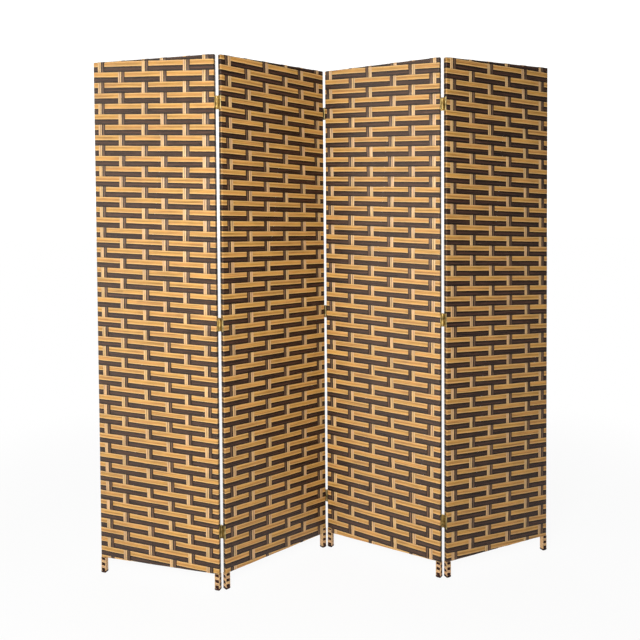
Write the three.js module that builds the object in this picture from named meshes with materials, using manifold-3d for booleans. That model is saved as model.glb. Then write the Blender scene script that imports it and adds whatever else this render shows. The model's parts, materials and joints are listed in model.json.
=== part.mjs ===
// Four-panel folding screen: slim wooden frames, each dressed in a woven ribbon cover,
// joined in a zigzag by two-way brass hinges. Millimetres, +Z up, front faces towards -Y.
import * as THREE from 'three';
import { mergeVertices } from 'three/addons/utils/BufferGeometryUtils.js';
import Module from 'manifold-3d';

// ---- driving dimensions ----------------------------------------------------------
const HEIGHT = 1800;            // floor to the top of the cover
const PANEL_WIDTH = 456;        // one panel, over its cover
const PANEL_THICK = 17;         // one panel, over its cover
const LEG_LENGTH = 56;          // floor to the bottom of the cover
const COVER_WALL = 1.2;         // woven cover, two ribbons deep
const SEAT = 0.3;               // running gap between neighbouring pieces
const WRAP_WALL = 0.95;         // woven wrap on each foot
const TIP = 2.5;                // bare wooden tip under each wrap
const RAIL_HEIGHT = 24;
const TENON = { long: 9, thick: 5, inset: 4 };
const HINGE_LEVELS = [0.1095, 0.5, 0.912];   // hinge centres, as shares of the height
const HINGE_NAMES = ['bottom', 'middle', 'top'];
const LEAF_HEIGHT = 45;
const PLATE = 1.1;              // sheet brass
const BARREL_R = 1.8;
const PIN_R = 0.65;
const AXIS_PROUD = 0.4;         // pin centres stand this far outside the cover's faces
const SCREW_R = 1.1;
const FIRST_YAW = -16.44;       // degrees, plan angle of the first panel
// fold at each seam, degrees from flat: on the back pin, then on the front pin
const FOLDS = [[58.09, 0], [0, 73.16], [57.51, 0]];

// ---- sizes that follow -----------------------------------------------------------
const SKIN = COVER_WALL + SEAT;
const STILE = PANEL_THICK - 2 * SKIN;
const FRAME_TOP = HEIGHT - SKIN;
const PIN_Y = PANEL_THICK / 2 + AXIS_PROUD;
const BACK_PIN_X = SEAT + BARREL_R;
const FRONT_PIN_X = SEAT + 3 * BARREL_R - PLATE;
const SEAM = 2 * SEAT + 4 * BARREL_R - PLATE;
const LEAF_WIDTH = PIN_Y + PANEL_THICK * 0.3;
const KNUCKLE = LEAF_HEIGHT / 3;
const RAILS = {
  top_rail: FRAME_TOP - RAIL_HEIGHT / 2,
  middle_rail: (FRAME_TOP + LEG_LENGTH) / 2,
  bottom_rail: LEG_LENGTH + SKIN + RAIL_HEIGHT / 2,
};

const LOOKS = {
  pine: { color: 0xc9a06c, roughness: 0.72, metalness: 0 },
  woven: { color: 0xa87a48, roughness: 0.6, metalness: 0 },
  wrap: { color: 0x8a6038, roughness: 0.65, metalness: 0 },
  brass: { color: 0xb08a3e, roughness: 0.34, metalness: 1 },
};

// ---- solid helpers ---------------------------------------------------------------
const wasm = await Module();
wasm.setup();

function toSolid(geometry) {
  const plain = geometry.clone();
  plain.deleteAttribute('normal');
  plain.deleteAttribute('uv');
  const welded = mergeVertices(plain, 1e-5);
  return new wasm.Manifold(new wasm.Mesh({
    numProp: 3,
    vertProperties: new Float32Array(welded.attributes.position.array),
    triVerts: new Uint32Array(welded.index.array),
  }));
}

function toGeometry(solid) {
  const mesh = solid.getMesh();
  const geometry = new THREE.BufferGeometry();
  geometry.setAttribute('position', new THREE.BufferAttribute(mesh.vertProperties, 3));
  geometry.setIndex(new THREE.BufferAttribute(mesh.triVerts, 1));
  const faceted = geometry.toNonIndexed();
  faceted.computeVertexNormals();
  return faceted;
}

function join(parts) {
  return parts.map(toSolid).reduce((all, one) => all.add(one));
}

function cut(solid, tools) {
  return tools.map(toSolid).reduce((rest, tool) => rest.subtract(tool), solid);
}

function block(x, y, z) {
  const geometry = new THREE.BoxGeometry(x[1] - x[0], y[1] - y[0], z[1] - z[0]);
  return geometry.translate((x[0] + x[1]) / 2, (y[0] + y[1]) / 2, (z[0] + z[1]) / 2);
}

function rod(x, y, radius, z, sides = 16, endRadius = radius) {
  const geometry = new THREE.CylinderGeometry(endRadius, radius, z[1] - z[0], sides);
  return geometry.rotateX(Math.PI / 2).translate(x, y, (z[0] + z[1]) / 2);
}

// rectangle with rounded corners, centred on (0, 0)
function easedRectangle(width, depth, radius) {
  const [a, b] = [width / 2, depth / 2];
  const shape = new THREE.Shape();
  shape.moveTo(-a + radius, -b);
  shape.lineTo(a - radius, -b);
  shape.quadraticCurveTo(a, -b, a, -b + radius);
  shape.lineTo(a, b - radius);
  shape.quadraticCurveTo(a, b, a - radius, b);
  shape.lineTo(-a + radius, b);
  shape.quadraticCurveTo(-a, b, -a, b - radius);
  shape.lineTo(-a, -b + radius);
  shape.quadraticCurveTo(-a, -b, -a + radius, -b);
  return shape;
}

// an upright bar or tube core of that section, from z[0] to z[1]
function easedPost(x, width, depth, radius, z) {
  const settings = { depth: z[1] - z[0], bevelEnabled: false, curveSegments: 4 };
  const geometry = new THREE.ExtrudeGeometry(easedRectangle(width, depth, radius), settings);
  return geometry.translate(x, 0, z[0]);
}

// ---- wooden frame ----------------------------------------------------------------
const stileX = { left: SKIN + STILE / 2, right: PANEL_WIDTH - SKIN - STILE / 2 };

function tenonSpan(railZ) {
  const half = RAIL_HEIGHT / 2 - TENON.inset;
  return [railZ - half, railZ + half];
}

// one stile, foot to top, with a blind mortise on its inner side for each rail
function stile(side) {
  const x = stileX[side];
  const inner = side === 'left' ? x + STILE / 2 : x - STILE / 2;
  const into = side === 'left' ? -1 : 1;
  const foot = new THREE.CylinderGeometry(STILE * 0.7071, STILE * 0.62, 1.2, 4, 1);
  foot.rotateY(Math.PI / 4).rotateX(Math.PI / 2).translate(x, 0, 0.6);
  const post = easedPost(x, STILE, STILE, 1.2, [0, FRAME_TOP]);
  const mortises = Object.values(RAILS).map((railZ) => {
    const [low, high] = tenonSpan(railZ);
    const xs = [inner + into * (TENON.long + SEAT), inner - into];
    const half = TENON.thick / 2 + SEAT;
    return block([Math.min(...xs), Math.max(...xs)], [-half, half], [low - SEAT, high + SEAT]);
  });
  const upper = block([x - STILE, x + STILE], [-STILE, STILE], [1.2, FRAME_TOP + 1]);
  const eased = toSolid(post).intersect(join([foot, upper]));
  return toGeometry(cut(eased, mortises));
}

// one rail between the stiles, with a stub tenon on each end
function rail(railZ) {
  const shoulder = [stileX.left + STILE / 2 + SEAT, stileX.right - STILE / 2 - SEAT];
  const reach = TENON.long - SEAT;
  const half = TENON.thick / 2;
  const depth = STILE / 2;
  const bar = block(shoulder, [-depth, depth], [railZ - RAIL_HEIGHT / 2, railZ + RAIL_HEIGHT / 2]);
  const stub = block([shoulder[0] - reach, shoulder[1] + reach], [-half, half], tenonSpan(railZ));
  return toGeometry(join([bar, stub]));
}

// ---- woven skins -----------------------------------------------------------------
// sleeve over the frame: closed over the top rail and under the bottom rail, with a
// square hole at each end of its underside that the two feet come through
function wovenCover() {
  const middle = PANEL_WIDTH / 2;
  const z = [LEG_LENGTH, HEIGHT];
  const plan = easedPost(middle, PANEL_WIDTH, PANEL_THICK, 3, z);
  const lid = easedRectangle(HEIGHT - LEG_LENGTH, PANEL_THICK, 3);
  const across = new THREE.ExtrudeGeometry(lid, {
    depth: PANEL_WIDTH + 2, bevelEnabled: false, curveSegments: 4,
  });
  across.rotateY(Math.PI / 2).translate(-1, 0, (HEIGHT + LEG_LENGTH) / 2);
  const outside = toSolid(plan).intersect(toSolid(across));
  const half = PANEL_THICK / 2 - COVER_WALL;
  const inside = block([COVER_WALL, PANEL_WIDTH - COVER_WALL], [-half, half],
    [LEG_LENGTH + COVER_WALL, HEIGHT - COVER_WALL]);
  const holes = Object.values(stileX).map((x) => {
    const side = STILE / 2 + SEAT;
    return block([x - side, x + side], [-side, side], [LEG_LENGTH - 1, LEG_LENGTH + 3]);
  });
  return toGeometry(cut(outside, [inside, ...holes]));
}

// square sleeve around one foot, between the bare tip and the cover
function footWrap(side) {
  const outer = STILE + 2 * (SEAT + WRAP_WALL);
  const inner = STILE + 2 * SEAT;
  const z = [TIP, LEG_LENGTH - SEAT];
  const body = toSolid(easedPost(stileX[side], outer, outer, 1.8, z));
  const core = easedPost(stileX[side], inner, inner, 1, [TIP - 1, LEG_LENGTH + 1]);
  return toGeometry(cut(body, [core]));
}

// ---- two-way hinge ---------------------------------------------------------------
// outline of a plate in (y, z), centred on z = 0, with its free corners cut off
function plateOutline(y, corner) {
  const half = LEAF_HEIGHT / 2;
  const shape = new THREE.Shape();
  shape.moveTo(y[1], -half);
  shape.lineTo(y[1], half);
  shape.lineTo(y[0] + corner, half);
  shape.lineTo(y[0], half - corner);
  shape.lineTo(y[0], -half + corner);
  shape.lineTo(y[0] + corner, -half);
  return shape;
}

// a flat plate standing in the y-z plane, from x to x + PLATE
function plate(x, outline) {
  const geometry = new THREE.ExtrudeGeometry(outline, { depth: PLATE, bevelEnabled: false });
  // shape (y, z) on (x, y) extruded along z, turned so that it stands upright
  const turn = new THREE.Matrix4().makeBasis(
    new THREE.Vector3(0, 1, 0), new THREE.Vector3(0, 0, 1), new THREE.Vector3(1, 0, 0));
  return geometry.applyMatrix4(turn).translate(x, 0, 0);
}

function screwHoles() {
  const spots = [[-0.33, 0.16], [0, 0.42], [0.33, 0.16]];
  return spots.flatMap(([up, in_]) => {
    const y = PIN_Y - LEAF_WIDTH + LEAF_WIDTH * in_ + 1.6;
    const hole = new THREE.CylinderGeometry(SCREW_R, SCREW_R, 4 * PLATE, 10);
    const sink = new THREE.CylinderGeometry(SCREW_R * 2.2, SCREW_R * 0.6, PLATE * 1.2, 10);
    hole.rotateZ(-Math.PI / 2).translate(SEAT + PLATE / 2, y, LEAF_HEIGHT * up);
    sink.rotateZ(-Math.PI / 2).translate(SEAT + PLATE * 0.75, y, LEAF_HEIGHT * up);
    return [hole, sink];
  });
}

// the leaf on a panel's right edge, in that edge's own frame: plate screwed to the edge,
// two knuckles round the back pin, and room between them for the link's knuckle
function leaf() {
  const half = LEAF_HEIGHT / 2;
  const flat = plate(SEAT, plateOutline([PIN_Y - LEAF_WIDTH, PIN_Y], 4));
  const ends = [[-half, -KNUCKLE / 2], [KNUCKLE / 2, half]];
  const knuckles = ends.map((z) => rod(BACK_PIN_X, PIN_Y, BARREL_R, z));
  const clear = BARREL_R + SEAT;
  const gate = KNUCKLE / 2;
  const middle = block([SEAT - 1, BACK_PIN_X + clear], [PIN_Y - clear, PIN_Y + clear],
    [-gate, gate]);
  const bore = rod(BACK_PIN_X, PIN_Y, PIN_R + SEAT, [-half - 1, half + 1], 12);
  return toGeometry(cut(join([flat, ...knuckles]), [middle, bore, ...screwHoles()]));
}

// a riveted pin: its shank, and a domed head just clear of the leaf at each end
function pin(x, y) {
  const half = LEAF_HEIGHT / 2;
  const low = [-half - SEAT - 1, -half - SEAT];
  const high = [half + SEAT, half + SEAT + 1];
  const wide = BARREL_R * 0.8;
  return [
    rod(x, y, PIN_R, [-half - SEAT - 0.5, half + SEAT + 0.5], 12),
    rod(x, y, wide * 0.55, low, 12, wide),
    rod(x, y, wide, high, 12, wide * 0.55),
  ];
}

// the link between the pins: a plate touching the inner side of both barrels, one
// middle knuckle on each pin, and both pins fixed in it
function link() {
  const half = LEAF_HEIGHT / 2;
  const x = BACK_PIN_X + BARREL_R - PLATE;
  const flat = block([x, x + PLATE], [-PIN_Y, PIN_Y], [-half, half]);
  const clear = BARREL_R + SEAT;
  const corners = [1, -1].flatMap((side) => [1, -1].map((end) => {
    const y = [side * (PIN_Y - clear), side * (PIN_Y + clear)].sort((a, b) => a - b);
    const z = [end * (KNUCKLE / 2 - SEAT), end * (half + 1)].sort((a, b) => a - b);
    return block([x - 1, x + PLATE + 1], y, z);
  }));
  const gate = KNUCKLE / 2 - SEAT;
  const plain = cut(toSolid(flat), corners);
  const round = join([
    rod(BACK_PIN_X, PIN_Y, BARREL_R, [-gate, gate]),
    rod(FRONT_PIN_X, -PIN_Y, BARREL_R, [-gate, gate]),
    ...pin(BACK_PIN_X, PIN_Y),
    ...pin(FRONT_PIN_X, -PIN_Y),
  ]);
  return toGeometry(plain.add(round));
}

// ---- placing ---------------------------------------------------------------------
function piece(name, look, geometry, into) {
  const mesh = new THREE.Mesh(geometry, new THREE.MeshStandardMaterial(LOOKS[look]));
  mesh.name = name;
  into.add(mesh);
  return mesh;
}

function turnAbout(x, y, degrees) {
  const turn = new THREE.Matrix4().makeRotationZ(THREE.MathUtils.degToRad(degrees));
  const there = new THREE.Matrix4().makeTranslation(x, y, 0);
  return there.multiply(turn).multiply(new THREE.Matrix4().makeTranslation(-x, -y, 0));
}

function shift(x) {
  return new THREE.Matrix4().makeTranslation(x, 0, 0);
}

function groupAt(name, matrix, into) {
  const group = new THREE.Group();
  group.name = name;
  group.applyMatrix4(matrix);
  into.add(group);
  return group;
}

function buildPanel(number, matrix, into) {
  const group = groupAt(`panel_${number}`, matrix, into);
  const own = (part) => `panel_${number}_${part}`;
  for (const side of ['left', 'right']) {
    piece(own(`${side}_stile`), 'pine', stile(side), group);
    piece(own(`${side}_foot_wrap`), 'wrap', footWrap(side), group);
  }
  for (const [name, railZ] of Object.entries(RAILS)) {
    piece(own(name), 'pine', rail(railZ), group);
  }
  piece(own('woven_cover'), 'woven', wovenCover(), group);
  return group;
}

// three hinges down one seam; the seam frame sits on the left panel's right edge
function buildSeam(label, seamFrame, linkFrame, nextPanel, into) {
  const frames = { left_leaf: seamFrame, link: linkFrame, right_leaf: nextPanel };
  HINGE_LEVELS.forEach((share, n) => {
    const level = HEIGHT * share;
    for (const [part, frame] of Object.entries(frames)) {
      const name = `seam_${label}_${HINGE_NAMES[n]}_hinge_${part}`;
      const holder = groupAt(`${name}_place`, frame, into);
      const mesh = piece(name, 'brass', part === 'link' ? link() : leaf(), holder);
      mesh.position.z = level;
      // the right-hand leaf is the left-hand one turned half round
      if (part === 'right_leaf') mesh.rotation.z = Math.PI;
    }
  });
}

function buildScreen() {
  const screen = new THREE.Group();
  screen.name = 'zigzag';
  let place = new THREE.Matrix4().makeRotationZ(THREE.MathUtils.degToRad(FIRST_YAW));
  buildPanel(1, place, screen);
  FOLDS.forEach(([back, front], n) => {
    const seamFrame = place.clone().multiply(shift(PANEL_WIDTH));
    const linkFrame = seamFrame.clone().multiply(turnAbout(BACK_PIN_X, PIN_Y, back));
    const turned = linkFrame.clone().multiply(turnAbout(FRONT_PIN_X, -PIN_Y, -front));
    place = turned.multiply(shift(SEAM));
    buildPanel(n + 2, place, screen);
    buildSeam(`${n + 1}${n + 2}`, seamFrame, linkFrame, place, screen);
  });
  return screen;
}

const root = new THREE.Group();
root.name = 'four_panel_folding_screen';
const screen = buildScreen();
root.add(screen);
root.updateMatrixWorld(true);
const middle = new THREE.Box3().setFromObject(screen, true).getCenter(new THREE.Vector3());
screen.position.set(-middle.x, -middle.y, 0);
root.updateMatrixWorld(true);

export default root;
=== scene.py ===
"""Looks of the four-panel woven folding screen: ribbons, wood, brass hinges, floor and light."""
import json
import math
import zlib

import bpy
import numpy as np
from bpy.props import FloatProperty, FloatVectorProperty, PointerProperty
from mathutils import Matrix, Vector


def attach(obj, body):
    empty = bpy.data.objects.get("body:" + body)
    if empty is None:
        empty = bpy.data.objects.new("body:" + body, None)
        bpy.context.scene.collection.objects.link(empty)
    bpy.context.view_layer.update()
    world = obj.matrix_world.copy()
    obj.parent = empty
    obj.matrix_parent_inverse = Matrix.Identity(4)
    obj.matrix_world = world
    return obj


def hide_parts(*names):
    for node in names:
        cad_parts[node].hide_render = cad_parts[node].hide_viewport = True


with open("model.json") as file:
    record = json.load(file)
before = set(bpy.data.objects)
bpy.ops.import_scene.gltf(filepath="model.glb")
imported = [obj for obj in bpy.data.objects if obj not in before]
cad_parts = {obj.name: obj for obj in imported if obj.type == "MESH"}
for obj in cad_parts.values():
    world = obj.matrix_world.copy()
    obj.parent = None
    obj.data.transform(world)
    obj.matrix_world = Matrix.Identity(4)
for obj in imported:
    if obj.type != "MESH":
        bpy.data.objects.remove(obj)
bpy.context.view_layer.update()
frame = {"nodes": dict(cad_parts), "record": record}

bl_info = {
    "name": "Woven folding screen",
    "version": (1, 0, 0),
    "blender": (4, 5, 0),
    "location": "View3D > Sidebar > Screen",
    "description": "Woven ribbon covers, foot wraps, wood and brass of a four-panel screen",
    "category": "Add Mesh",
}

# Sizes of the frame that the ribbons are wound on, in millimetres
HEIGHT = 1800
PANEL_WIDTH = 456
PANEL_THICK = 17
CORNER = 3
LEG_LENGTH = 56
STILE_IN = 8.5  # from a panel's edge to the middle of its stile
SLIVER = 0.02  # the uprights stay this far inside the cover's ends
ROWS_FROM, ROWS_TO = LEG_LENGTH + 1.2, HEIGHT - 2.6
FOOT_WRAP, FOOT_DEPTH = 18.6, 17.0  # shallow enough for two feet to lie face to face
FOOT_SIDES = (FOOT_WRAP, FOOT_DEPTH) * 2
FOOT_CORNER = 1.9
FOOT_FROM, FOOT_TO = 2.5, 55.7
FOOT_THICK, FOOT_DIP, FOOT_HALF = 0.45, 0.42, 6.6  # ribbon, its dip and half a crossing
TIP_BAND, TIP_PROUD = 5.6, 0.25  # the dark band round a foot's tip: height, stand-off
FOOT_RISE = {(2, "right"): 20, (3, "left"): 17}  # these wraps start over the cover's corner
LEAF_LEVELS = {"bottom": 0.1095, "middle": 0.5, "top": 0.912}
LEAF_HEIGHT, LEAF_WIDTH, PIN_OUT = 45, 14, 8.9
SCREW_INSET = 1.6
SCREW_SPOTS = ((-0.33, 0.16), (0, 0.42), (0.33, 0.16))

# Each panel's weave, in millimetres from the left and the top of its front face: the first
# tan row at the middle of the panel and the pitch of a pair of rows; at seven even steps
# from top to bottom, how far the hand-wound rows have drifted down from that even pitch and
# their fall per millimetre to the right; and the middles of the upright pairs at three depths
WEAVES = {
    1: {"first": 10.8, "pitch": 34.7, "drift": (-3.5, 8, 15, 16.5, 14, 10.5, 0.5),
        "fall": (0.04, 0.037, 0.035, 0.038, 0.043, 0.047, 0.054),
        "uprights": ((30, 109.5, 199.5, 270, 355, 426), (31, 106.5, 193.5, 272, 347.5, 423),
                     (39, 104.5, 202, 282, 353, 421.5)), "tan_first": True},
    2: {"first": 10.8, "pitch": 34.5, "drift": (-3, -4.5, -5.5, -2, -0.5, 0, -0.5),
        "fall": (0.041, 0.033, 0.024, 0.016, 0.019, 0.023, 0.035),
        "uprights": ((29.5, 109.5, 186, 271.5, 347, 421), (35, 111.5, 186.5, 270, 354, 426.5),
                     (33, 109.5, 183.5, 268, 344.5, 426.5)), "tan_first": False},
    3: {"first": 10.8, "pitch": 35.9, "drift": (-3, -5, -6.5, -6, -4, -2, -0.5),
        "fall": (0.049, 0.036, 0.027, 0.026, 0.022, 0.028, 0.041),
        "uprights": ((19.5, 114, 184.5, 279, 352.5, 430.5), (26.5, 106, 190, 265.5, 349, 424.5),
                     (29, 103, 189, 274, 350, 415.5)), "tan_first": False},
    4: {"first": 10.8, "pitch": 35.7, "drift": (0, -1, -2.5, -4.5, -5, -4.5, -1),
        "fall": (0.041, 0.041, 0.041, 0.044, 0.044, 0.044, 0.046),
        "uprights": ((29, 109.5, 190.5, 269, 346, 424.5), (30.5, 112.5, 196, 276.5, 360.5, 427.5),
                     (32, 107, 182.5, 272, 358.5, 427)), "tan_first": True},
}

UPRIGHT_DEPTHS = (110, 870, 1630)
FIRST_ROW = -4  # the winding starts above the top edge, which cuts it off

# The narrow sides that face another panel, darkened with painted shade where the seam shades them: -1
# left, 1 right
HINGED_SIDES = {1: (1,), 2: (-1, 1), 3: (-1, 1), 4: (-1,)}

# The ribbon's section: how far across each point lies, and on which side
ACROSS = np.array([0.0, 0.1, 0.35, 0.65, 0.9, 1.0, 0.8, 0.2])
CROWN = np.array([0.0, 0.7, 1.0, 1.0, 0.7, 0.0, -0.8, -0.8])
MARGIN = 0.0005  # of a ribbon's own width coordinate, in metres
BEND = np.radians([22.5, 45.0, 67.5])  # stations round a corner

# How each kind of ribbon takes the light: its palest and deepest streaks as times its
# colour, its painted edge light (above 0 a painted highlight along the edges with painted
# shade at the rim, below 0 painted shade at the edges and a painted highlight along the
# middle), its second tint and its shine
WARM = (1.0, 0.86, 0.74)
ROW_WIDTH = 0.0174
# painted shade: on the hinged narrow sides the ribbon colours are times this
EDGE_SHADE = 0.62
RIBBONS = {
    "tan": {"pale": 1.22, "deep": 0.62, "lip": 0.65},
    "tan_upright": {"pale": 1.3, "deep": 0.5, "lip": 0.6},
    "foot_tan": {"pale": 1.22, "deep": 0.62, "lip": 0.65},
    "dark": {"pale": 2.1, "deep": 0.3, "lip": -0.95, "blush": (1.02, 0.99, 1.0),
             "shine": 0.42, "sheen": WARM},
    "dark_upright": {"pale": 2.4, "deep": 0.25, "lip": -0.9, "blush": (0.97, 1.0, 1.03),
                     "shine": 0.34, "sheen": WARM},
    "foot_dark": {"pale": 2.1, "deep": 0.3, "lip": -0.95, "blush": (1.02, 0.99, 1.0),
                  "shine": 0.1, "sheen": WARM},
}

# The studio, in metres and degrees
CAMERA_AT, CAMERA_DIP, CAMERA_ROLL = (-0.0291, -2.5091, 1.282), 1.707, -0.386
KEY_AT, KEY_SIZE = (-6.6, -4.6, 2.0), 4.2
FRONT_AT, FRONT_SIZE = (-0.45, -2.2, 1.4), 1.0
LAMPS_AIM = (0.0, 0.0, 0.95)
FLOOR_REACH, FLOOR_GREY = 30, 0.86


class ScreenSizes(bpy.types.PropertyGroup):
    """Sizes of the ribbons, in metres."""
    thick: FloatProperty(
        name="Ribbon thickness", description="Thickness of the flat ribbon",
        default=0.0006, subtype="DISTANCE", unit="LENGTH")
    cover: FloatProperty(
        name="Row cover", description="Share of a row that its ribbon covers",
        default=0.985, min=0.5, max=1.0, subtype="FACTOR")
    upright: FloatProperty(
        name="Upright width", description="Width of one upright ribbon",
        default=0.0124, subtype="DISTANCE", unit="LENGTH")
    upright_gap: FloatProperty(
        name="Upright gap", description="Gap between the two ribbons of an upright pair",
        default=0.0006, subtype="DISTANCE", unit="LENGTH")
    dip: FloatProperty(
        name="Dip", description="How much deeper a ribbon lies where it runs under another",
        default=0.0009, subtype="DISTANCE", unit="LENGTH")
    foot_pitch: FloatProperty(
        name="Foot winding pitch", description="Fall of one turn of the ribbon on a foot",
        default=0.0097, subtype="DISTANCE", unit="LENGTH")
    cord: FloatProperty(
        name="Cord pitch", description="Width of one twisted cord in a ribbon",
        default=0.0019, subtype="DISTANCE", unit="LENGTH")


class ScreenColours(bpy.types.PropertyGroup):
    """Colours of the ribbons, wood and brass."""
    tan: FloatVectorProperty(
        name="Tan rows", description="Colour of the tan ribbon that is wound across",
        default=(0.765, 0.563, 0.268), subtype="COLOR_GAMMA", min=0, max=1)
    dark: FloatVectorProperty(
        name="Dark rows", description="Colour of the dark ribbon that is wound across",
        default=(0.135, 0.078, 0.05), subtype="COLOR_GAMMA", min=0, max=1)
    # the uprights are paler and greyer than the rows: partly their own colour, partly a painted sheen
    # for the light their upright fibres catch
    tan_upright: FloatVectorProperty(
        name="Tan uprights", description="Colour of the tan upright ribbon",
        default=(0.8, 0.645, 0.43), subtype="COLOR_GAMMA", min=0, max=1)
    dark_upright: FloatVectorProperty(
        name="Dark uprights", description="Colour of the dark upright ribbon",
        default=(0.23, 0.165, 0.12), subtype="COLOR_GAMMA", min=0, max=1)
    foot_tan: FloatVectorProperty(
        name="Foot ribbon", description="Colour of the tan ribbon wound on the feet",
        default=(0.81, 0.64, 0.43), subtype="COLOR_GAMMA", min=0, max=1)
    foot_dark: FloatVectorProperty(
        name="Foot checks", description="Colour of the dark ribbon woven into the foot wraps",
        default=(0.13, 0.065, 0.055), subtype="COLOR_GAMMA", min=0, max=1)
    wood: FloatVectorProperty(
        name="Wood", description="Colour of the unvarnished frame",
        default=(0.78, 0.63, 0.43), subtype="COLOR_GAMMA", min=0, max=1)
    brass: FloatVectorProperty(
        name="Brass", description="Colour of the hinges",
        default=(0.74, 0.66, 0.45), subtype="COLOR_GAMMA", min=0, max=1)


class ScreenStudio(bpy.types.PropertyGroup):
    """Camera, lamps and floor."""
    lens: FloatProperty(
        name="Lens", description="Focal length on a 36 mm sensor",
        default=39.78, subtype="DISTANCE_CAMERA")
    shift: FloatProperty(
        name="Shift", description="Upward shift of the picture", default=-0.1389)
    key: FloatProperty(
        name="Key lamp", description="Strength of the large lamp at the left",
        default=205.0, unit="POWER")
    front: FloatProperty(
        name="Front lamp", description="Strength of the lamp beside the camera",
        default=56.0, unit="POWER")
    surround: FloatProperty(
        name="Surround", description="Strength of the light from all sides", default=0.2)


# ---------------------------------------------------------------- shaders


def linear(colour, lift=1.0):
    """A display colour as light: the usual display curve undone, then times lift."""
    c = np.asarray(colour, float)
    c = np.where(c > 0.04045, ((c + 0.055) / 1.055) ** 2.4, c / 12.92) * lift
    return (*np.clip(c, 0, 1), 1.0)


class Value:
    """One socket of a material; arithmetic on it adds Math nodes."""

    def __init__(self, finish, socket):
        self.finish, self.socket = finish, socket

    def maths(self, operation, *terms):
        return self.finish.node("ShaderNodeMath", {"operation": operation}, dict(enumerate(terms)))

    def __add__(self, other):
        return self.maths("ADD", self, other)

    def __sub__(self, other):
        return self.maths("SUBTRACT", self, other)

    def __rsub__(self, other):
        return self.maths("SUBTRACT", other, self)

    def __mul__(self, other):
        return self.maths("MULTIPLY", self, other)

    def __truediv__(self, other):
        return self.maths("DIVIDE", self, other)

    def __pow__(self, other):
        return self.maths("POWER", self, other)

    __radd__ = __add__
    __rmul__ = __mul__

    def floor(self):
        return self.maths("FLOOR", self)

    def fract(self):
        return self.maths("FRACT", self)

    def larger(self, other):
        return self.maths("MAXIMUM", self, other)

    def size(self):
        return self.maths("ABSOLUTE", self)

    def sine(self):
        return self.maths("SINE", self)

    def ramp(self, low, high, out_low=0.0, out_high=1.0):
        """Value carried from low..high to out_low..out_high, smoothly and clamped."""
        return self.finish.node(
            "ShaderNodeMapRange", {"interpolation_type": "SMOOTHSTEP"},
            {"Value": self, "From Min": low, "From Max": high, "To Min": out_low, "To Max": out_high})


class Nodes:
    """A node tree of a material or the world, built by node()."""

    def __init__(self, tree):
        self.tree = tree

    def node(self, kind, settings=None, inputs=None, output=0):
        """Adds a node: its settings first, then the values or links of its sockets."""
        made = self.tree.nodes.new(kind)
        for key, value in (settings or {}).items():
            setattr(made, key, value)
        for key, value in (inputs or {}).items():
            self.feed(made.inputs[key], value)
        return Value(self, made.outputs[output])

    def feed(self, socket, value):
        """Links a Value to a socket, or sets the socket to a constant."""
        if isinstance(value, Value):
            self.tree.links.new(value.socket, socket)
        else:
            socket.default_value = value

    def mix(self, factor, a, b, blend="MIX"):
        """Colour a carried towards colour b by factor."""
        return self.node(
            "ShaderNodeMix", {"data_type": "RGBA", "blend_type": blend}, {0: factor, 6: a, 7: b}, 2)

    def vector(self, x=0.0, y=0.0, z=0.0):
        return self.node("ShaderNodeCombineXYZ", None, {0: x, 1: y, 2: z})

    def split(self, vector):
        """The three numbers of a vector."""
        made = self.tree.nodes.new("ShaderNodeSeparateXYZ")
        self.feed(made.inputs[0], vector)
        return [Value(self, made.outputs[i]) for i in range(3)]

    def noise(self, vector, scale=1.0, detail=2.0, rough=0.5, distortion=0.0):
        return self.node(
            "ShaderNodeTexNoise", None,
            {"Vector": vector, "Scale": scale, "Detail": detail, "Roughness": rough,
             "Distortion": distortion})

    def rays(self):
        """Whether a ray comes from the camera, from a shiny face or through a clear one."""
        return [self.node("ShaderNodeLightPath", output=f"Is {kind} Ray")
                for kind in ("Camera", "Glossy", "Transmission")]


class Finish(Nodes):
    """A material with one Principled surface."""

    def __init__(self, name, roughness=0.5, metallic=0.0):
        self.material = bpy.data.materials.new(name)
        self.material.use_nodes = True
        super().__init__(self.material.node_tree)
        self.surface = self.tree.nodes["Principled BSDF"]
        self.set(Roughness=roughness, Metallic=metallic)

    def set(self, **inputs):
        """Feeds the Principled surface; an underscore stands for a space."""
        for key, value in inputs.items():
            self.feed(self.surface.inputs[key.replace("_", " ")], value)

    def bump(self, height, distance, strength=1.0):
        """Raises the surface by height times distance, in metres."""
        self.set(Normal=self.node(
            "ShaderNodeBump", None, {"Height": height, "Distance": distance, "Strength": strength}))

    def place(self, turn=0.0):
        """Object coordinates, turned about the upright axis by -turn radians."""
        own = self.node("ShaderNodeTexCoord", output="Object")
        return self.node("ShaderNodeMapping", None, {"Vector": own, "Rotation": (0.0, 0.0, -turn)})


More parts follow.
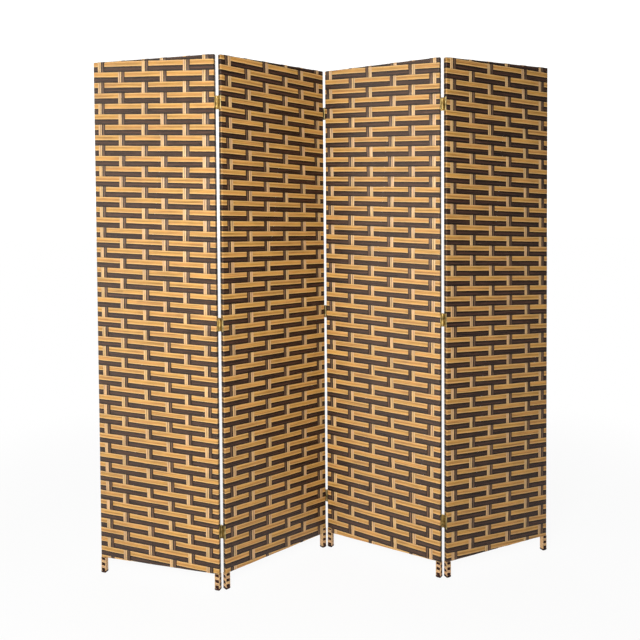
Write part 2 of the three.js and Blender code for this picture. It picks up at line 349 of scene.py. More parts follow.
def ribbon_finish(name, colour, cord, width, pale, deep, lip, blush=(1.0, 0.97, 1.05),
                  shine=0.38, sheen=(1.0, 1.0, 1.0)):
    """Flat ribbon of twisted paper cords: broad and fine lengthwise streaks, a tone for each
    cord, grooves between the cords and the slant of their twist, from the ribbon's own
    length and width, with a few dusty, worn places. The grooves between the cords are
    darkened with painted shade. With the edge light above 0 both edges get a painted
    highlight, with painted shade at the rim and a slightly darker middle; below 0 the edges
    are darkened with painted shade and the middle lightened with a painted highlight."""
    f = Finish(name)
    f.set(Specular_IOR_Level=shine, Specular_Tint=(*sheen, 1.0))
    along, across, _ = f.split(f.node("ShaderNodeUVMap", {"uv_map": "ribbon"}))
    lane = across / cord
    number, place = lane.floor(), lane.fract()
    round_top = 1.0 - (place * 2.0 - 1.0) ** 2.0
    edge = ((across - MARGIN) / (width / 2) - 1.0).size()
    tone = f.node("ShaderNodeTexWhiteNoise", {"noise_dimensions": "1D"},
                  {"W": number + along.floor() * 7.0})
    band = f.noise(f.vector(along * 6.0, across * 260.0), detail=2.0, rough=0.6)
    streak = f.noise(f.vector(along * 14.0, across * 620.0), detail=3.0, rough=0.65)
    cloud = f.noise(f.vector(along * 16.0, across * 30.0, 5.0), detail=3.0, rough=0.6)
    twist = ((along / 0.0042 + place * 0.6) * (2 * math.pi)).sine()
    fleck = f.noise(f.vector(along * 260.0, across * 900.0), detail=1.0)
    shade = (band * 0.95 + streak * 0.35 + tone * 0.2 + cloud * 0.4 + fleck * 0.14
             - 0.5).ramp(0.24, 0.76)
    worn = f.noise(f.vector(along * 17.0, across * 120.0, 3.0), detail=3.0, rough=0.7).ramp(0.64, 0.75)
    hue = f.noise(f.vector(along * 7.0, across * 70.0, 9.0), detail=2.0).ramp(0.4, 0.62)
    tinted = tuple(c * b for c, b in zip(colour, blush))
    own = f.mix(shade, f.mix(hue, linear(colour, deep), linear(tinted, deep)),
                f.mix(hue, linear(colour, pale), linear(tinted, pale)))
    dusty = linear(tuple(0.6 * c + 0.4 * g for c, g in zip(colour, (0.66, 0.60, 0.54))))
    own = f.mix(worn * 0.4, own, dusty)
    # painted highlight: a pale band along both edges of the ribbon
    edge_highlight = edge.ramp(0.45, 0.7) * edge.ramp(0.86, 0.95, 1.0, 0.0)
    if lip > 0:
        # the painted highlight's pale cream colour
        highlight_colour = linear(tuple(0.55 * c + 0.45 * g for c, g in zip(colour, (0.97, 0.86, 0.68))))
        own = f.mix(edge_highlight * lip, own, highlight_colour)
        # painted shade at the rim and a slightly darker middle
        depth = edge.ramp(0.88, 1.0, 1.0, 0.3) * edge.ramp(0.1, 0.6, 0.88, 1.0)
    else:
        # painted shade darkening the edges, painted highlight lightening the middle
        depth = edge.ramp(0.2, 0.85, 1.0 - lip, 0.1)
    # painted shade in the grooves between the cords
    depth = depth * round_top.ramp(0.0, 0.55, 0.62, 1.0)
    shadow = f.node("ShaderNodeCombineColor", None, {0: depth, 1: depth, 2: depth})
    f.set(Base_Color=f.mix(1.0, own, shadow, "MULTIPLY"), Roughness=streak.ramp(0.2, 0.8, 0.2, 0.38))
    f.bump(round_top * 0.7 + twist * 0.1 + streak * 0.35 + fleck * 0.12, 0.0003)
    return f.material


def wood_finish(name, colour, turn=None):
    """Planed softwood: growth lines stretched along the bar, fine pores, and an end that is
    near-black within 6 mm of the floor. With no turn the bar is upright."""
    f = Finish(name)
    x, y, z = f.split(f.place(turn or 0.0))
    fine, long = 70.0, 3.0
    bar = (f.vector(x * fine, y * fine, z * long) if turn is None
           else f.vector(x * long, y * fine, z * fine))
    bend = f.noise(bar, scale=0.6, detail=2.0)
    grain = f.noise(bar, scale=1.3, detail=5.0, rough=0.6, distortion=0.6)
    rings = ((grain * 9.0 + bend * 5.0) * (2 * math.pi)).sine() * 0.5 + 0.5
    pores = f.noise(bar, scale=9.0, detail=2.0, rough=0.7)
    shade = (rings * 0.4 + grain * 0.4 + pores * 0.2).ramp(0.2, 0.85)
    wood = f.mix(shade, linear(colour, 0.62), linear(colour, 1.12))
    # near-black within 6 mm of the floor
    soiled = z.ramp(0.0, 0.006, 0.95, 0.0)
    f.set(Base_Color=f.mix(soiled, wood, linear((0.09, 0.065, 0.05))),
          Roughness=pores.ramp(0.3, 0.7, 0.48, 0.66))
    f.bump(grain * 0.6 + pores * 0.4, 0.0002)
    return f.material


def brass_finish(name, colour):
    """Dull brass plate: clouds of tarnish, brown spots, fine scratches up and down."""
    f = Finish(name, metallic=1.0)
    own = f.place()
    x, y, z = f.split(own)
    cloud = f.noise(own, scale=95.0, detail=3.0, rough=0.6)
    spots = f.noise(own, scale=420.0, detail=2.0).ramp(0.60, 0.72)
    scratch = f.noise(f.vector(x * 2600.0, y * 2600.0, z * 90.0), detail=2.0)
    metal = f.mix(cloud.ramp(0.3, 0.7), linear(colour, 0.45), linear(colour, 1.25))
    f.set(Base_Color=f.mix(spots * 0.65, metal, linear((0.27, 0.20, 0.11))),
          Metallic=spots.ramp(0.0, 1.0, 1.0, 0.75),
          Roughness=(cloud * 0.35 + scratch * 0.2).ramp(0.1, 0.5, 0.3, 0.52))
    f.bump(scratch * 0.5 + cloud * 0.5, 0.00008)
    return f.material


# ---------------------------------------------------------------- surfaces


def build(name, blocks, finishes, body, replaced=()):
    """Puts blocks of rings into one mesh. A block is (points[m, k, 3] in metres, along[m] or
    along[m + 1] if its last ring meets its first, across[m, k], finish number). Neighbouring
    rings are joined by quads, and open ends are capped. A block whose enclosed volume comes
    out negative is turned round, so faces point outwards."""
    points, faces, sizes, uvs, marks = [], [], [], [], []
    at = 0
    for rings, along, across, mark in blocks:
        m, k, _ = rings.shape
        loop = len(along) == m + 1
        i, j = np.meshgrid(np.arange(m if loop else m - 1), np.arange(k), indexing="ij")
        i, j = i.ravel(), j.ravel()
        n, t = (i + 1) % m, (j + 1) % k
        quads = np.stack([i * k + j, n * k + j, n * k + t, i * k + t], 1)
        uv = np.stack([np.stack([along[a], across[b, c]], 1) for a, b, c in (
            (i, i, j), (i + 1, n, j), (i + 1, n, t), (i, i, t))], 1)
        flat = rings.reshape(-1, 3)
        p = flat[quads] - flat.mean(0)
        volume = (np.einsum("ij,ij->i", p[:, 0], np.cross(p[:, 1], p[:, 2]))
                  + np.einsum("ij,ij->i", p[:, 0], np.cross(p[:, 2], p[:, 3]))).sum()
        if volume < 0:
            quads, uv = quads[:, ::-1], uv[:, ::-1]
        faces.append(quads.ravel() + at)
        sizes.append(np.full(len(quads), 4))
        uvs.append(uv.reshape(-1, 2))
        mark = np.broadcast_to(mark, m)
        marks.append(np.minimum(mark[i], mark[n]))
        if not loop:
            for ring, turned in ((0, volume > 0), (m - 1, volume < 0)):
                order = np.arange(k)[::-1] if not turned else np.arange(k)
                faces.append(at + ring * k + order)
                sizes.append(np.array([k]))
                uvs.append(np.stack([np.full(k, along[ring]), across[ring, order]], 1))
                marks.append(mark[[ring]])
        points.append(flat)
        at += m * k
    points, faces = np.concatenate(points), np.concatenate(faces)
    sizes, uvs, marks = np.concatenate(sizes), np.concatenate(uvs), np.concatenate(marks)
    starts = np.concatenate([[0], np.cumsum(sizes)[:-1]])
    mesh = bpy.data.meshes.new(name)
    mesh.vertices.add(len(points))
    mesh.vertices.foreach_set("co", points.ravel())
    mesh.loops.add(len(faces))
    mesh.loops.foreach_set("vertex_index", faces.astype(np.int32))
    mesh.polygons.add(len(sizes))
    mesh.polygons.foreach_set("loop_start", starts.astype(np.int32))
    mesh.polygons.foreach_set("material_index", marks.astype(np.int32))
    layer = mesh.uv_layers.new(name="ribbon")
    layer.data.foreach_set("uv", uvs.ravel())
    mesh.update(calc_edges=True)
    mesh.validate()
    mesh.shade_smooth()
    mesh.set_sharp_from_angle(angle=math.radians(50))
    for finish in finishes:
        mesh.materials.append(finish)
    piece = bpy.data.objects.new(name, mesh)
    bpy.context.scene.collection.objects.link(piece)
    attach(piece, body)
    if replaced:
        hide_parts(*replaced)
    return piece


class Panel:
    """One panel's own frame: u millimetres from its left edge, w towards its back, z up."""

    def __init__(self, number):
        feet = {m["name"]: np.array(m["pos_m"]) for m in frame["record"]["mounts"]}
        left, right = feet[f"foot_{number}_left"], feet[f"foot_{number}_right"]
        self.number, self.body = number, f"panel_{number}"
        self.along = (right - left) / np.linalg.norm(right - left)
        self.back = np.array([-self.along[1], self.along[0], 0.0])
        self.origin = left - self.along * STILE_IN / 1000
        self.yaw = math.atan2(self.along[1], self.along[0])

    def put(self, u, w, z):
        """Points of the panel's frame, in millimetres, as metres of the whole object."""
        u, w, z = np.broadcast_arrays(u, w, z)
        return (self.origin + u[..., None] / 1000 * self.along + w[..., None] / 1000 * self.back
                + z[..., None] / 1000 * np.array([0.0, 0.0, 1.0]))


def offset_of(name):
    """A shift of a ribbon's pattern that depends on its name only, in metres."""
    return (zlib.crc32(name.encode()) % 997) / 10.0


class Winding:
    """A ribbon pair wound round a box of width by depth with rounded corners, falling one
    pitch a turn, and the uprights that cross it. Lengths are in millimetres. Row number q
    counts pairs down from the first: q is the top edge of the first ribbon, q + share its
    lower edge. Sides run front, right, back, left; the distance along a turn starts at the
    front's left end."""

    def __init__(self, width, depth, radius, top, bottom, height_of_row, uprights, half, dip,
                 centre=0.0):
        self.width, self.depth, self.radius = width, depth, radius
        self.top, self.bottom, self.height_of_row = top, bottom, height_of_row
        self.uprights, self.half, self.dip, self.centre = uprights, half, dip, centre

    def turn(self, row):
        """Stations of turn number row: place x, y, outward normal, how far along the turn in
        millimetres and how deep the ribbon lies, 0 at the surface to 1 under an upright."""
        w, d, r = self.width, self.depth, self.radius
        sides = ((w, (0, -d / 2), (1, 0)), (d, (w, -d / 2), (0, 1)),
                 (w, (w, d / 2), (-1, 0)), (d, (0, d / 2), (0, -1)))
        count = 0
        xs, ys, nx, ny, deep, gone = [], [], [], [], [], []
        done = 0.0
        for (length, start, way), crossing in zip(sides, self.uprights(row)):
            normal = (way[1], -way[0])
            knots, depths = [r], [0.0]
            for centre in crossing:
                under = (count + row) % 2 == 0
                knots += [centre - self.half, centre + self.half]
                depths += [float(under)] * 2
                count += 1
            knots, depths = np.array(knots + [length - r]), np.array(depths + [0.0])
            if len(crossing) == 0:
                at, low = np.linspace(r, length - r, 3), np.zeros(3)
            else:
                mids = (knots[1:] + knots[:-1]) / 2
                halves = (depths[1:] + depths[:-1]) / 2
                keep = np.diff(knots) > 3 * r
                order = np.argsort(np.concatenate([knots, mids[keep]]), kind="stable")
                at = np.concatenate([knots, mids[keep]])[order]
                low = np.concatenate([depths, halves[keep]])[order]
            for places, normals, k in ((xs, nx, 0), (ys, ny, 1)):
                round_corner = normal[k] * np.cos(BEND) + way[k] * np.sin(BEND)
                corner = start[k] + way[k] * (length - r) - normal[k] * r
                places += [start[k] + way[k] * at, corner + r * round_corner]
                normals += [np.full(len(at), normal[k]), round_corner]
            deep += [low, np.zeros(3)]
            gone += [done + at, done + length - r + BEND / (math.pi / 2) * r * 1.4]
            done += length
        return [np.concatenate(v) for v in (xs, ys, nx, ny, deep, gone)]

    def around(self):
        """The length of one turn."""
        return 2 * (self.width + self.depth)

    def ribbon(self, put, first, share, thick, cover, name, soiled=()):
        """The ribbon between row lines q + first and q + first + share on every turn, cut off
        at the top and bottom edges. Its section is a flat lens, carried along the winding. The
        narrow sides listed in the last argument, -1 left and 1 right, take the second finish,
        which is the first darkened as painted shade."""
        drop = self.height_of_row(0, 0) - self.height_of_row(1, 0)
        rows = range(FIRST_ROW, int((self.top - self.bottom) / drop) + 3)
        turns = [self.turn(row) for row in rows]
        x, y, nx, ny, deep, gone = [np.concatenate([t[i] for t in turns]) for i in range(6)]
        row = np.concatenate([np.full(len(t[0]), r) for t, r in zip(turns, rows)])
        upper = self.height_of_row(row + first, gone)
        lower = self.height_of_row(row + first + share, gone)
        slack = (upper - lower) * (1 - cover) / 2
        upper, lower = upper - slack, lower + slack
        high, low = np.minimum(upper, self.top), np.maximum(lower, self.bottom)
        inside = high - low > 0.8
        edges = np.flatnonzero(np.diff(np.concatenate([[0], inside.astype(int), [0]])))
        length = (row - FIRST_ROW) * self.around() + gone
        blocks = []
        for a, b in zip(edges[::2], edges[1::2]):
            if b - a < 3:
                continue
            s = slice(a, b)
            z = high[s, None] + (low - high)[s, None] * ACROSS
            inset = thick / 2 + deep[s, None] * self.dip - CROWN * thick / 2
            px = x[s, None] - nx[s, None] * inset + self.centre
            py = y[s, None] - ny[s, None] * inset
            along = length[s] / 1000 + offset_of(name)
            across = (upper[s, None] - z) / 1000 + MARGIN
            # painted shade: faces on the listed narrow sides take the darkened second finish
            mark = np.isin(nx[s].round(2), soiled).astype(int)
            blocks.append((put(px, py, z), along, across, mark))
        return blocks


def smooth(t):
    """0 below 0, 1 above 1, and an even curve between."""
    t = np.clip(t, 0, 1)
    return t * t * (3 - 2 * t)


# ---------------------------------------------------------------- operators


def settings():
    """The sizes and the colours set in the scene."""
    return bpy.context.scene.woven_screen_sizes, bpy.context.scene.woven_screen_colours


def finish_of(key):
    """The finish for a kind of ribbon, wood or metal, made once."""
    sizes, colours = settings()
    name = f"screen_{key}"
    if name in bpy.data.materials:
        return bpy.data.materials[name]
    if key == "brass":
        return brass_finish(name, colours.brass)
    if key.startswith("wood"):
        turn = Panel(int(key[-1])).yaw if key[-1].isdigit() else None
        return wood_finish(name, colours.wood, turn)
    kind = key.replace("_edge", "")
    # a ribbon's second finish is its colour times EDGE_SHADE, painted shade on the hinged narrow sides
    colour = np.array(getattr(colours, kind)) * (EDGE_SHADE if "_edge" in key else 1.0)
    width = {"tan": ROW_WIDTH, "dark": ROW_WIDTH, "foot_tan": sizes.foot_pitch}.get(kind, sizes.upright)
    return ribbon_finish(name, colour, sizes.cord, width, **RIBBONS[kind])


def weave_of(panel):
    """The winding of one panel's cover. The height of row line q at distance s along the
    turn is linear in s on the front and on the rest, and meets line q + 1 where the turn
    ends; a slow ripple of a third of a millimetre goes with the ribbon's whole length."""
    sizes, _ = settings()
    weave = WEAVES[panel.number]
    tall = HEIGHT - LEG_LENGTH
    steps = np.linspace(0, 1, len(weave["fall"]))

    def height_of_row(q, s):
        q, s = np.broadcast_arrays(np.asarray(q, float), np.asarray(s, float))

        def ends_of(row):
            """Depths of a row line at the left and the right end of the front."""
            middle = weave["first"] + weave["pitch"] * row
            fall = np.interp(middle / tall, steps, weave["fall"])
            middle = middle + np.interp(middle / tall, steps, weave["drift"])
            return middle - fall * PANEL_WIDTH / 2, middle + fall * PANEL_WIDTH / 2

        left, right = ends_of(q)
        back_to = ends_of(q + 1)[0]
        around = 2 * (PANEL_WIDTH + PANEL_THICK)
        drop = np.where(s <= PANEL_WIDTH, left + (right - left) * s / PANEL_WIDTH,
                        right + (back_to - right) * (s - PANEL_WIDTH) / (around - PANEL_WIDTH))
        whole = q * around + s
        ripple = 0.2 * np.sin(whole / 41.0 + panel.number) + 0.15 * np.sin(whole / 17.3)
        return HEIGHT - drop - ripple

    def crossings(row):
        ups = upright_places(weave, weave["first"] + weave["pitch"] * (row + 0.5))
        return ups, (), PANEL_WIDTH - ups[::-1], ()

    return Winding(
        PANEL_WIDTH, PANEL_THICK, CORNER, ROWS_TO, ROWS_FROM, height_of_row, crossings,
        sizes.upright * 1000 + sizes.upright_gap * 500 + 0.4, sizes.dip * 1000)


def upright_places(weave, depth):
    """Middles of the six upright pairs at a depth: the parabola through the three depths."""
    high, middle, low = (np.array(v, float) for v in weave["uprights"])
    _, centre, lowest = UPRIGHT_DEPTHS
    t = (np.clip(depth, 0, HEIGHT - LEG_LENGTH) - centre) / (lowest - centre)
    t = np.asarray(t)[..., None]
    return middle + t * (low - high) / 2 + t * t * ((low + high) / 2 - middle)


class SCREEN_OT_rows(bpy.types.Operator):
    """Wind the tan and the dark ribbon round each panel"""
    bl_idname = "woven_screen.rows"
    bl_label = "Woven rows"

    def execute(self, context):
        sizes, _ = settings()
        for number in WEAVES:
            panel = Panel(number)
            winding = weave_of(panel)
            for key, first in (("tan", 0.0), ("dark", 0.5)):
                name = f"panel_{number}_{key}_rows"
                blocks = winding.ribbon(
                    panel.put, first, 0.5, sizes.thick * 1000, sizes.cover, name, HINGED_SIDES[number])
                build(name, blocks, [finish_of(key), finish_of(f"{key}_edge")], panel.body,
                      [f"panel_{number}_woven_cover"])
        return {"FINISHED"}


class SCREEN_OT_uprights(bpy.types.Operator):
    """Weave the upright ribbon pairs through each panel's rows"""
    bl_idname = "woven_screen.uprights"
    bl_label = "Upright ribbons"

    def loop(self, panel, winding, index, left, width, thick, name):
        """One upright: up the back, over the top, down the front and under the bottom, a
        closed path of stations with the same lens section. Where its pair runs over a row it
        lies at the surface, elsewhere deeper, and it changes within 3 mm of each row line."""
        weave = WEAVES[panel.number]
        middle = weave["uprights"][1][index]
        pairs = len(weave["uprights"][1])
        top, bottom, half, r = HEIGHT - SLIVER, LEG_LENGTH + SLIVER, PANEL_THICK / 2, CORNER
        turns = 60
        sides = []
        for front in (True, False):
            s = middle if front else 2 * PANEL_WIDTH + PANEL_THICK - middle
            count = index if front else 2 * pairs - 1 - index
            rows = np.arange(-2, turns)
            lines = winding.height_of_row(rows, np.full(len(rows), s))
            gap = lines[:-1] - lines[1:]
            z = np.concatenate([lines + 3, lines + 1, lines - 1, lines - 3, lines[:-1] - gap / 2])
            z = np.unique(z[(z < top - r - 1) & (z > bottom + r + 1)])[::-1]
            z = np.concatenate([[top - r], z, [bottom + r]])
            row = np.searchsorted(-lines, -z) - 1
            over = (count + rows[row]) % 2 == 0
            near_low = smooth((lines[row + 1] + 3 - z) / 6)
            near_high = smooth((z - lines[row] + 3) / 6)
            deep = np.where(over, near_low + near_high, 1 - near_low - near_high)
            deep = deep * smooth((top - z) / 6 - 0.5) * smooth((z - bottom) / 6 - 0.5)
            sides.append((z, deep))
        (front_z, front_deep), (back_z, back_deep) = sides
        sine, cosine, none = np.sin(BEND), np.cos(BEND), np.zeros(3)
        flat, low, high = half - r, bottom + r, top - r
        z = [front_z, low - r * sine, [bottom] * 2, low - r * cosine,
             back_z[::-1], high + r * sine, [top] * 2, high + r * cosine]
        w = [np.full(len(front_z), -half), -flat - r * cosine, [-flat, flat], flat + r * sine,
             np.full(len(back_z), half), flat + r * cosine, [flat, -flat], -flat - r * sine]
        nz = [0 * front_z, -sine, [-1, -1], -cosine, 0 * back_z, sine, [1, 1], cosine]
        nw = [0 * front_z - 1, -cosine, [0, 0], sine, 0 * back_z + 1, cosine, [0, 0], -sine]
        deep = [front_deep, none, [0, 0], none, back_deep[::-1], none, [0, 0], none]
        z, w, nz, nw, deep = [np.concatenate(part) for part in (z, w, nz, nw, deep)]
        place = upright_places(weave, HEIGHT - z)[:, index] + 0.3 * np.sin(z / 110.0 + index * 1.9)
        inset = thick / 2 + deep[:, None] * winding.dip - CROWN * thick / 2
        u = left + place[:, None] + ACROSS * width
        step = np.hypot(np.diff(z, append=z[0]), np.diff(w, append=w[0]))
        along = np.concatenate([[0], np.cumsum(step)]) / 1000 + offset_of(name)
        across = np.broadcast_to(ACROSS * width / 1000 + MARGIN, u.shape)
        rings = panel.put(u, w[:, None] - nw[:, None] * inset, z[:, None] - nz[:, None] * inset)
        return rings, along, across, 0

    def execute(self, context):
        sizes, _ = settings()
        width, gap = sizes.upright * 1000, sizes.upright_gap * 1000
        for number, weave in WEAVES.items():
            panel = Panel(number)
            winding = weave_of(panel)
            for key in ("tan", "dark"):
                on_left = (key == "tan") == weave["tan_first"]
                name = f"panel_{number}_{key}_uprights"
                blocks = [
                    self.loop(panel, winding, i, -gap / 2 - width if on_left else gap / 2,
                              width, sizes.thick * 1000, f"{name}_{i}")
                    for i in range(len(weave["uprights"][0]))]
                build(name, blocks, [finish_of(f"{key}_upright")], panel.body,
                      [f"panel_{number}_woven_cover"])
        return {"FINISHED"}


class SCREEN_OT_edgings(bpy.types.Operator):
    """Lay the ribbon that closes each panel's top and bottom edge"""
    bl_idname = "woven_screen.edgings"
    bl_label = "Top and bottom edgings"

    def execute(self, context):
        for number in WEAVES:
            panel = Panel(number)
            for level, key, way, turn_in, inset, start in (
                    (HEIGHT - 0.9, "dark", 1, 2.2, 1.0, 1.0),
                    (LEG_LENGTH + 0.9, "tan", -1, 0.6, 1.7, 17.5)):
                name = f"panel_{number}_{'top' if way > 0 else 'bottom'}_edging"
                half, r = PANEL_THICK / 2 - inset, min(2.0, turn_in)
                arc = np.radians(np.linspace(0, 90, 5))
                rise, run = r * np.sin(arc), r * np.cos(arc)
                outer_w = np.concatenate([[-half], -half + r - run, half - r + rise, [half]])
                outer_z = np.concatenate([[-turn_in], -r + rise, -r + run, [-turn_in]])
                inner_w, inner_z = outer_w[::-1] * (half - 0.5) / half, outer_z[::-1] - 0.5
                w = np.concatenate([outer_w, inner_w])
                z = level + way * np.concatenate([outer_z, inner_z])
                u = np.linspace(start, PANEL_WIDTH - start, 60)[:, None]
                rings = panel.put(u, w, z)
                fold = np.cumsum(np.hypot(
                    np.diff(outer_w, prepend=outer_w[0]), np.diff(outer_z, prepend=outer_z[0])))
                across = np.broadcast_to(np.concatenate([fold, fold[::-1]]) / 1000, rings.shape[:2])
                build(name, [(rings, u[:, 0] / 1000 + offset_of(name), across, 0)], [finish_of(key)],
                      panel.body, [f"panel_{number}_woven_cover"])
        return {"FINISHED"}


class SCREEN_OT_foot_wraps(bpy.types.Operator):
    """Wind the tan ribbon and weave the three dark uprights round each foot"""
    bl_idname = "woven_screen.foot_wraps"
    bl_label = "Foot wraps"

    def execute(self, context):
        sizes, _ = settings()
        pitch = sizes.foot_pitch * 1000
        around = 2 * (FOOT_WRAP + FOOT_DEPTH)

        def height_of_row(q, s):
            return FOOT_TO + 2.4 - (np.asarray(q, float) + np.asarray(s, float) / around) * pitch

        for number in WEAVES:
            panel = Panel(number)
            # the dark uprights are on the front, the back and the side away from the middle
            for side, crossed in (("left", (0, 2, 3)), ("right", (0, 1, 2))):
                centre = STILE_IN if side == "left" else PANEL_WIDTH - STILE_IN
                crossings = tuple((FOOT_SIDES[i] / 2,) if i in crossed else () for i in range(4))
                top = FOOT_TO + FOOT_RISE.get((number, side), 0)
                winding = Winding(
                    FOOT_WRAP, FOOT_DEPTH, FOOT_CORNER, top, FOOT_FROM, height_of_row,
                    lambda row: crossings, FOOT_HALF, FOOT_DIP, centre - FOOT_WRAP / 2)
                node = [f"panel_{number}_{side}_foot_wrap"]
                name = f"panel_{number}_{side}_foot_winding"
                blocks = winding.ribbon(panel.put, 0.0, 1.0, FOOT_THICK, 0.97, name)
                build(name, blocks, [finish_of("foot_tan")], panel.body, node)
                name = f"panel_{number}_{side}_foot_uprights"
                blocks = [self.upright(panel, winding, count, face, centre, name)
                          for count, face in enumerate(crossed)]
                blocks.append(self.band(panel, centre, name))
                build(name, blocks, [finish_of("foot_dark")], panel.body, node)
        return {"FINISHED"}

    def upright(self, panel, winding, count, face, centre, name):
        """The dark upright on one face of a foot, from its top to its tip, over and under."""
        half = FOOT_HALF - 0.2
        s = sum(FOOT_SIDES[:face]) + FOOT_SIDES[face] / 2
        rows = np.arange(FIRST_ROW, 8)
        lines = winding.height_of_row(rows, np.full(len(rows), s))
        z = np.concatenate([lines + 1.5, lines + 0.5, lines - 0.5, lines - 1.5, lines[:-1] - 5])
        z = np.unique(z[(z < winding.top - 0.4) & (z > FOOT_FROM + 0.4)])[::-1]
        z = np.concatenate([[winding.top - 0.2], z, [FOOT_FROM + 0.2]])
        row = np.clip(np.searchsorted(-lines, -z) - 1, 0, len(rows) - 2)
        over = (count + rows[row]) % 2 == 0
        near = smooth((lines[row + 1] + 1.5 - z) / 3) + smooth((z - lines[row] + 1.5) / 3)
        deep = np.where(over, near, 1 - near)
        inset = FOOT_THICK / 2 + deep[:, None] * winding.dip - CROWN * FOOT_THICK / 2
        out = FOOT_SIDES[face - 1] / 2 - inset
        over_by = (ACROSS * 2 - 1) * half
        angle = math.radians(-90 + 90 * face)
        cosine, sine = math.cos(angle), math.sin(angle)
        u = centre + cosine * out - sine * over_by
        w = sine * out + cosine * over_by
        across = np.broadcast_to((over_by + half) / 1000 + MARGIN, u.shape)
        return panel.put(u, w, z[:, None]), z / 1000 + offset_of(name) + face, across, 0

    def band(self, panel, centre, name):
        """The dark band round the tip of a foot: one turn with rounded corners, from just
        below the lowest winding to the floor end of the wrap."""
        r, wide, deep = FOOT_CORNER, FOOT_WRAP / 2, FOOT_DEPTH / 2
        arc = np.radians(np.arange(0, 90, 22.5))
        facing = np.concatenate([arc + math.radians(a) for a in (-90, 0, 90, 180)])
        nx, ny = np.cos(facing), np.sin(facing)
        x = np.repeat([wide - r, wide - r, r - wide, r - wide], len(arc)) + r * nx
        y = np.repeat([r - deep, deep - r, deep - r, r - deep], len(arc)) + r * ny
        z = FOOT_FROM + ACROSS * TIP_BAND
        inset = FOOT_THICK / 2 - TIP_PROUD - CROWN * FOOT_THICK / 2
        rings = panel.put(
            centre + x[:, None] - nx[:, None] * inset, y[:, None] - ny[:, None] * inset, z)
        step = np.hypot(np.diff(x, append=x[0]), np.diff(y, append=y[0]))
        along = np.concatenate([[0], np.cumsum(step)]) / 1000 + offset_of(name) + 7
        return rings, along, np.broadcast_to(z / 1000, rings.shape[:2]), 0


class SCREEN_OT_frames(bpy.types.Operator):
    """Give the stiles and rails their wood"""
    bl_idname = "woven_screen.frames"
    bl_label = "Wooden frames"

    def execute(self, context):
        for name, node in frame["nodes"].items():
            if name.endswith("_stile"):
                wear(node, finish_of("wood_upright"))
            elif name.endswith("_rail"):
                wear(node, finish_of(f"wood_across_{name.split('_')[1]}"))
        return {"FINISHED"}


def wear(node, finish):
    """Gives a carried-over solid one finish."""
    node.data.materials.clear()
    node.data.materials.append(finish)


class SCREEN_OT_hinges(bpy.types.Operator):
    """Give the hinges their brass and put the screws into the leaves"""
    bl_idname = "woven_screen.hinges"
    bl_label = "Hinges and screws"

    def screw(self, panel, edge, outward, w, z, turn):
        """A countersunk screw: rings of radius r at height h from the point to the head, whose
        face sinks into a cross-shaped recess where a ray's angle is near the cross."""
        a = np.linspace(0, 2 * math.pi, 24, endpoint=False)
        cross = np.maximum(np.abs(np.cos(a)), np.abs(np.sin(a))) > 0.96
        # radius, height, and how far the cross is cut in at each ring
        profile = np.array([
            (0.15, -6.0, 0), (0.8, -4.6, 0), (0.85, 0.1, 0), (2.2, 1.22, 0), (2.26, 1.34, 0),
            (1.85, 1.42, 0), (1.3, 1.46, 0), (1.2, 1.46, 0.55), (0.5, 1.47, 0.62), (0.2, 1.0, 0)])
        r = profile[:, :1] * np.ones(len(a))
        h = profile[:, 1:2] - profile[:, 2:] * cross
        y, x = r * np.sin(a + turn), r * np.cos(a + turn)
        rings = panel.put(edge + outward * h, w + x, z + y)
        return rings, h[:, 0] / 1000, np.broadcast_to(a / 100, r.shape), 0

    def execute(self, context):
        for name, node in frame["nodes"].items():
            if name.startswith("seam_"):
                wear(node, finish_of("brass"))
        for seam in (1, 2, 3):
            for level, share in LEAF_LEVELS.items():
                for side, number in (("left", seam), ("right", seam + 1)):
                    panel = Panel(number)
                    way = 1 if side == "left" else -1
                    edge = PANEL_WIDTH if side == "left" else 0.0
                    blocks = []
                    for i, (up, across) in enumerate(SCREW_SPOTS):
                        w = PIN_OUT - LEAF_WIDTH + LEAF_WIDTH * across + SCREW_INSET
                        z = HEIGHT * share + LEAF_HEIGHT * up
                        turn = 0.7 * i + 1.1 * seam + share
                        blocks.append(self.screw(panel, edge, way, way * w, z, turn))
                    build(f"seam_{seam}{seam + 1}_{level}_{side}_screws", blocks,
                          [finish_of("brass")], panel.body)
        return {"FINISHED"}


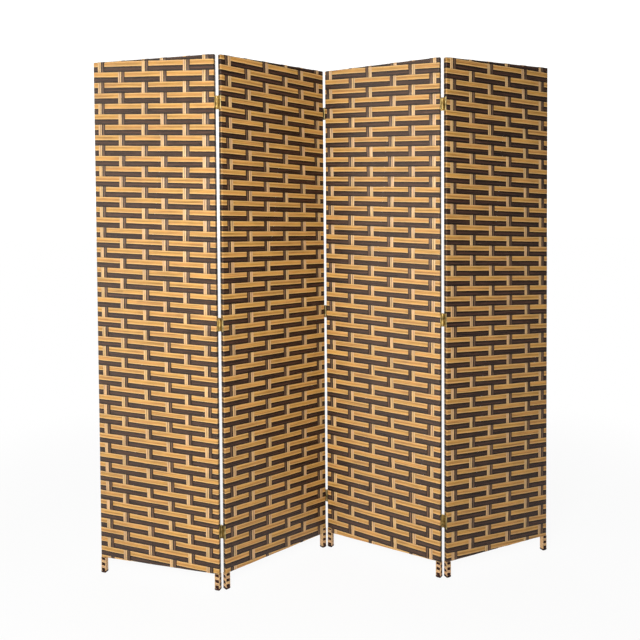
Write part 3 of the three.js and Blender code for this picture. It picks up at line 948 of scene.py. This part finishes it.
class SCREEN_OT_stage(bpy.types.Operator):
    """Set the floor, the lamps, the surround and the camera"""
    bl_idname = "woven_screen.stage"
    bl_label = "Floor, light and camera"

    def execute(self, context):
        studio = context.scene.woven_screen_studio
        signs = ((-1, -1), (1, -1), (1, 1), (-1, 1))
        corners = [(x * FLOOR_REACH, y * FLOOR_REACH, 0.0) for x, y in signs]
        mesh = bpy.data.meshes.new("floor")
        mesh.from_pydata(corners, [], [(0, 1, 2, 3)])
        floor = bpy.data.objects.new("floor", mesh)
        context.scene.collection.objects.link(floor)
        f = Finish("floor", roughness=0.9)
        f.set(Base_Color=(*[FLOOR_GREY] * 3, 1.0), Specular_IOR_Level=0.0)
        seen, gloss, through = f.rays()
        white = f.node("ShaderNodeEmission", None, {"Color": (1, 1, 1, 1), "Strength": 1.0})
        x, y, _ = f.split(f.node("ShaderNodeTexCoord", output="Object"))
        # white where seen, its shadows kept near the screen; shiny faces see it on the left
        seen = seen.larger(through).larger(gloss * x.ramp(-0.5, 0.9, 1.0, 0.0))
        away = (x * x + y * y).ramp(1.0, 7.0, 0.92, 1.0)
        both = f.node("ShaderNodeMixShader", None,
                      {0: seen * away, 1: Value(f, f.surface.outputs[0]), 2: white})
        f.tree.links.new(both.socket, f.tree.nodes["Material Output"].inputs["Surface"])
        mesh.materials.append(f.material)

        world = bpy.data.worlds.new("surround")
        context.scene.world = world
        world.use_nodes = True
        w = Nodes(world.node_tree)
        side, behind, _ = w.split(w.node("ShaderNodeTexCoord", output="Generated"))
        # soft light from all sides, more from behind; shiny faces see white on the left
        soft = behind.ramp(0.15, 0.8, studio.surround, studio.surround * 6.0)
        seen, gloss, through = w.rays()
        shone = gloss * side.ramp(-0.3, 0.6, 1.0, 0.2)
        strength = seen.larger(shone).larger(through).larger(soft)
        w.feed(w.tree.nodes["Background"].inputs["Color"], (1, 1, 1, 1))
        w.feed(w.tree.nodes["Background"].inputs["Strength"], strength)

        lamp("key", KEY_AT, LAMPS_AIM, KEY_SIZE, studio.key)
        lamp("front", FRONT_AT, LAMPS_AIM, FRONT_SIZE, studio.front)
        camera = bpy.data.objects.new("camera", bpy.data.cameras.new("camera"))
        context.scene.collection.objects.link(camera)
        camera.data.sensor_fit, camera.data.sensor_width = "HORIZONTAL", 36.0
        camera.data.lens, camera.data.shift_x, camera.data.shift_y = studio.lens, 0.0, studio.shift
        camera.data.clip_start, camera.data.clip_end = 0.05, 100.0
        camera.matrix_world = (
            Matrix.Translation(CAMERA_AT) @ Matrix.Rotation(math.radians(90 - CAMERA_DIP), 4, "X")
            @ Matrix.Rotation(math.radians(CAMERA_ROLL), 4, "Z"))
        context.scene.camera = camera
        context.scene.view_settings.view_transform = "Standard"
        return {"FINISHED"}


def lamp(name, at, aim, size, power):
    """A square soft lamp at a place, facing a point."""
    data = bpy.data.lights.new(name, "AREA")
    data.size, data.energy = size, power
    made = bpy.data.objects.new(name, data)
    made.location = at
    made.rotation_euler = (Vector(aim) - Vector(at)).to_track_quat("-Z", "Y").to_euler()
    made.visible_camera = False
    bpy.context.scene.collection.objects.link(made)


STEPS = (SCREEN_OT_rows, SCREEN_OT_uprights, SCREEN_OT_edgings, SCREEN_OT_foot_wraps,
         SCREEN_OT_frames, SCREEN_OT_hinges, SCREEN_OT_stage)
GROUPS = {"woven_screen_sizes": ScreenSizes, "woven_screen_colours": ScreenColours,
          "woven_screen_studio": ScreenStudio}


class SCREEN_PT_tools(bpy.types.Panel):
    """The screen's steps and settings, in the 3D view's sidebar."""
    bl_idname = "SCREEN_PT_tools"
    bl_label = "Woven screen"
    bl_space_type = "VIEW_3D"
    bl_region_type = "UI"
    bl_category = "Screen"

    def draw(self, context):
        for key, group in GROUPS.items():
            box = self.layout.box()
            for name in group.__annotations__:
                box.prop(getattr(context.scene, key), name)
        for step in STEPS:
            self.layout.operator(step.bl_idname)


def register():
    for kind in (*GROUPS.values(), *STEPS, SCREEN_PT_tools):
        bpy.utils.register_class(kind)
    for key, group in GROUPS.items():
        setattr(bpy.types.Scene, key, PointerProperty(type=group))


def unregister():
    for key in GROUPS:
        delattr(bpy.types.Scene, key)
    for kind in (SCREEN_PT_tools, *reversed(STEPS), *reversed(GROUPS.values())):
        bpy.utils.unregister_class(kind)


def main():
    register()
    for step in STEPS:
        group, name = step.bl_idname.split(".")
        getattr(getattr(bpy.ops, group), name)()


if __name__ == "__main__":
    main()
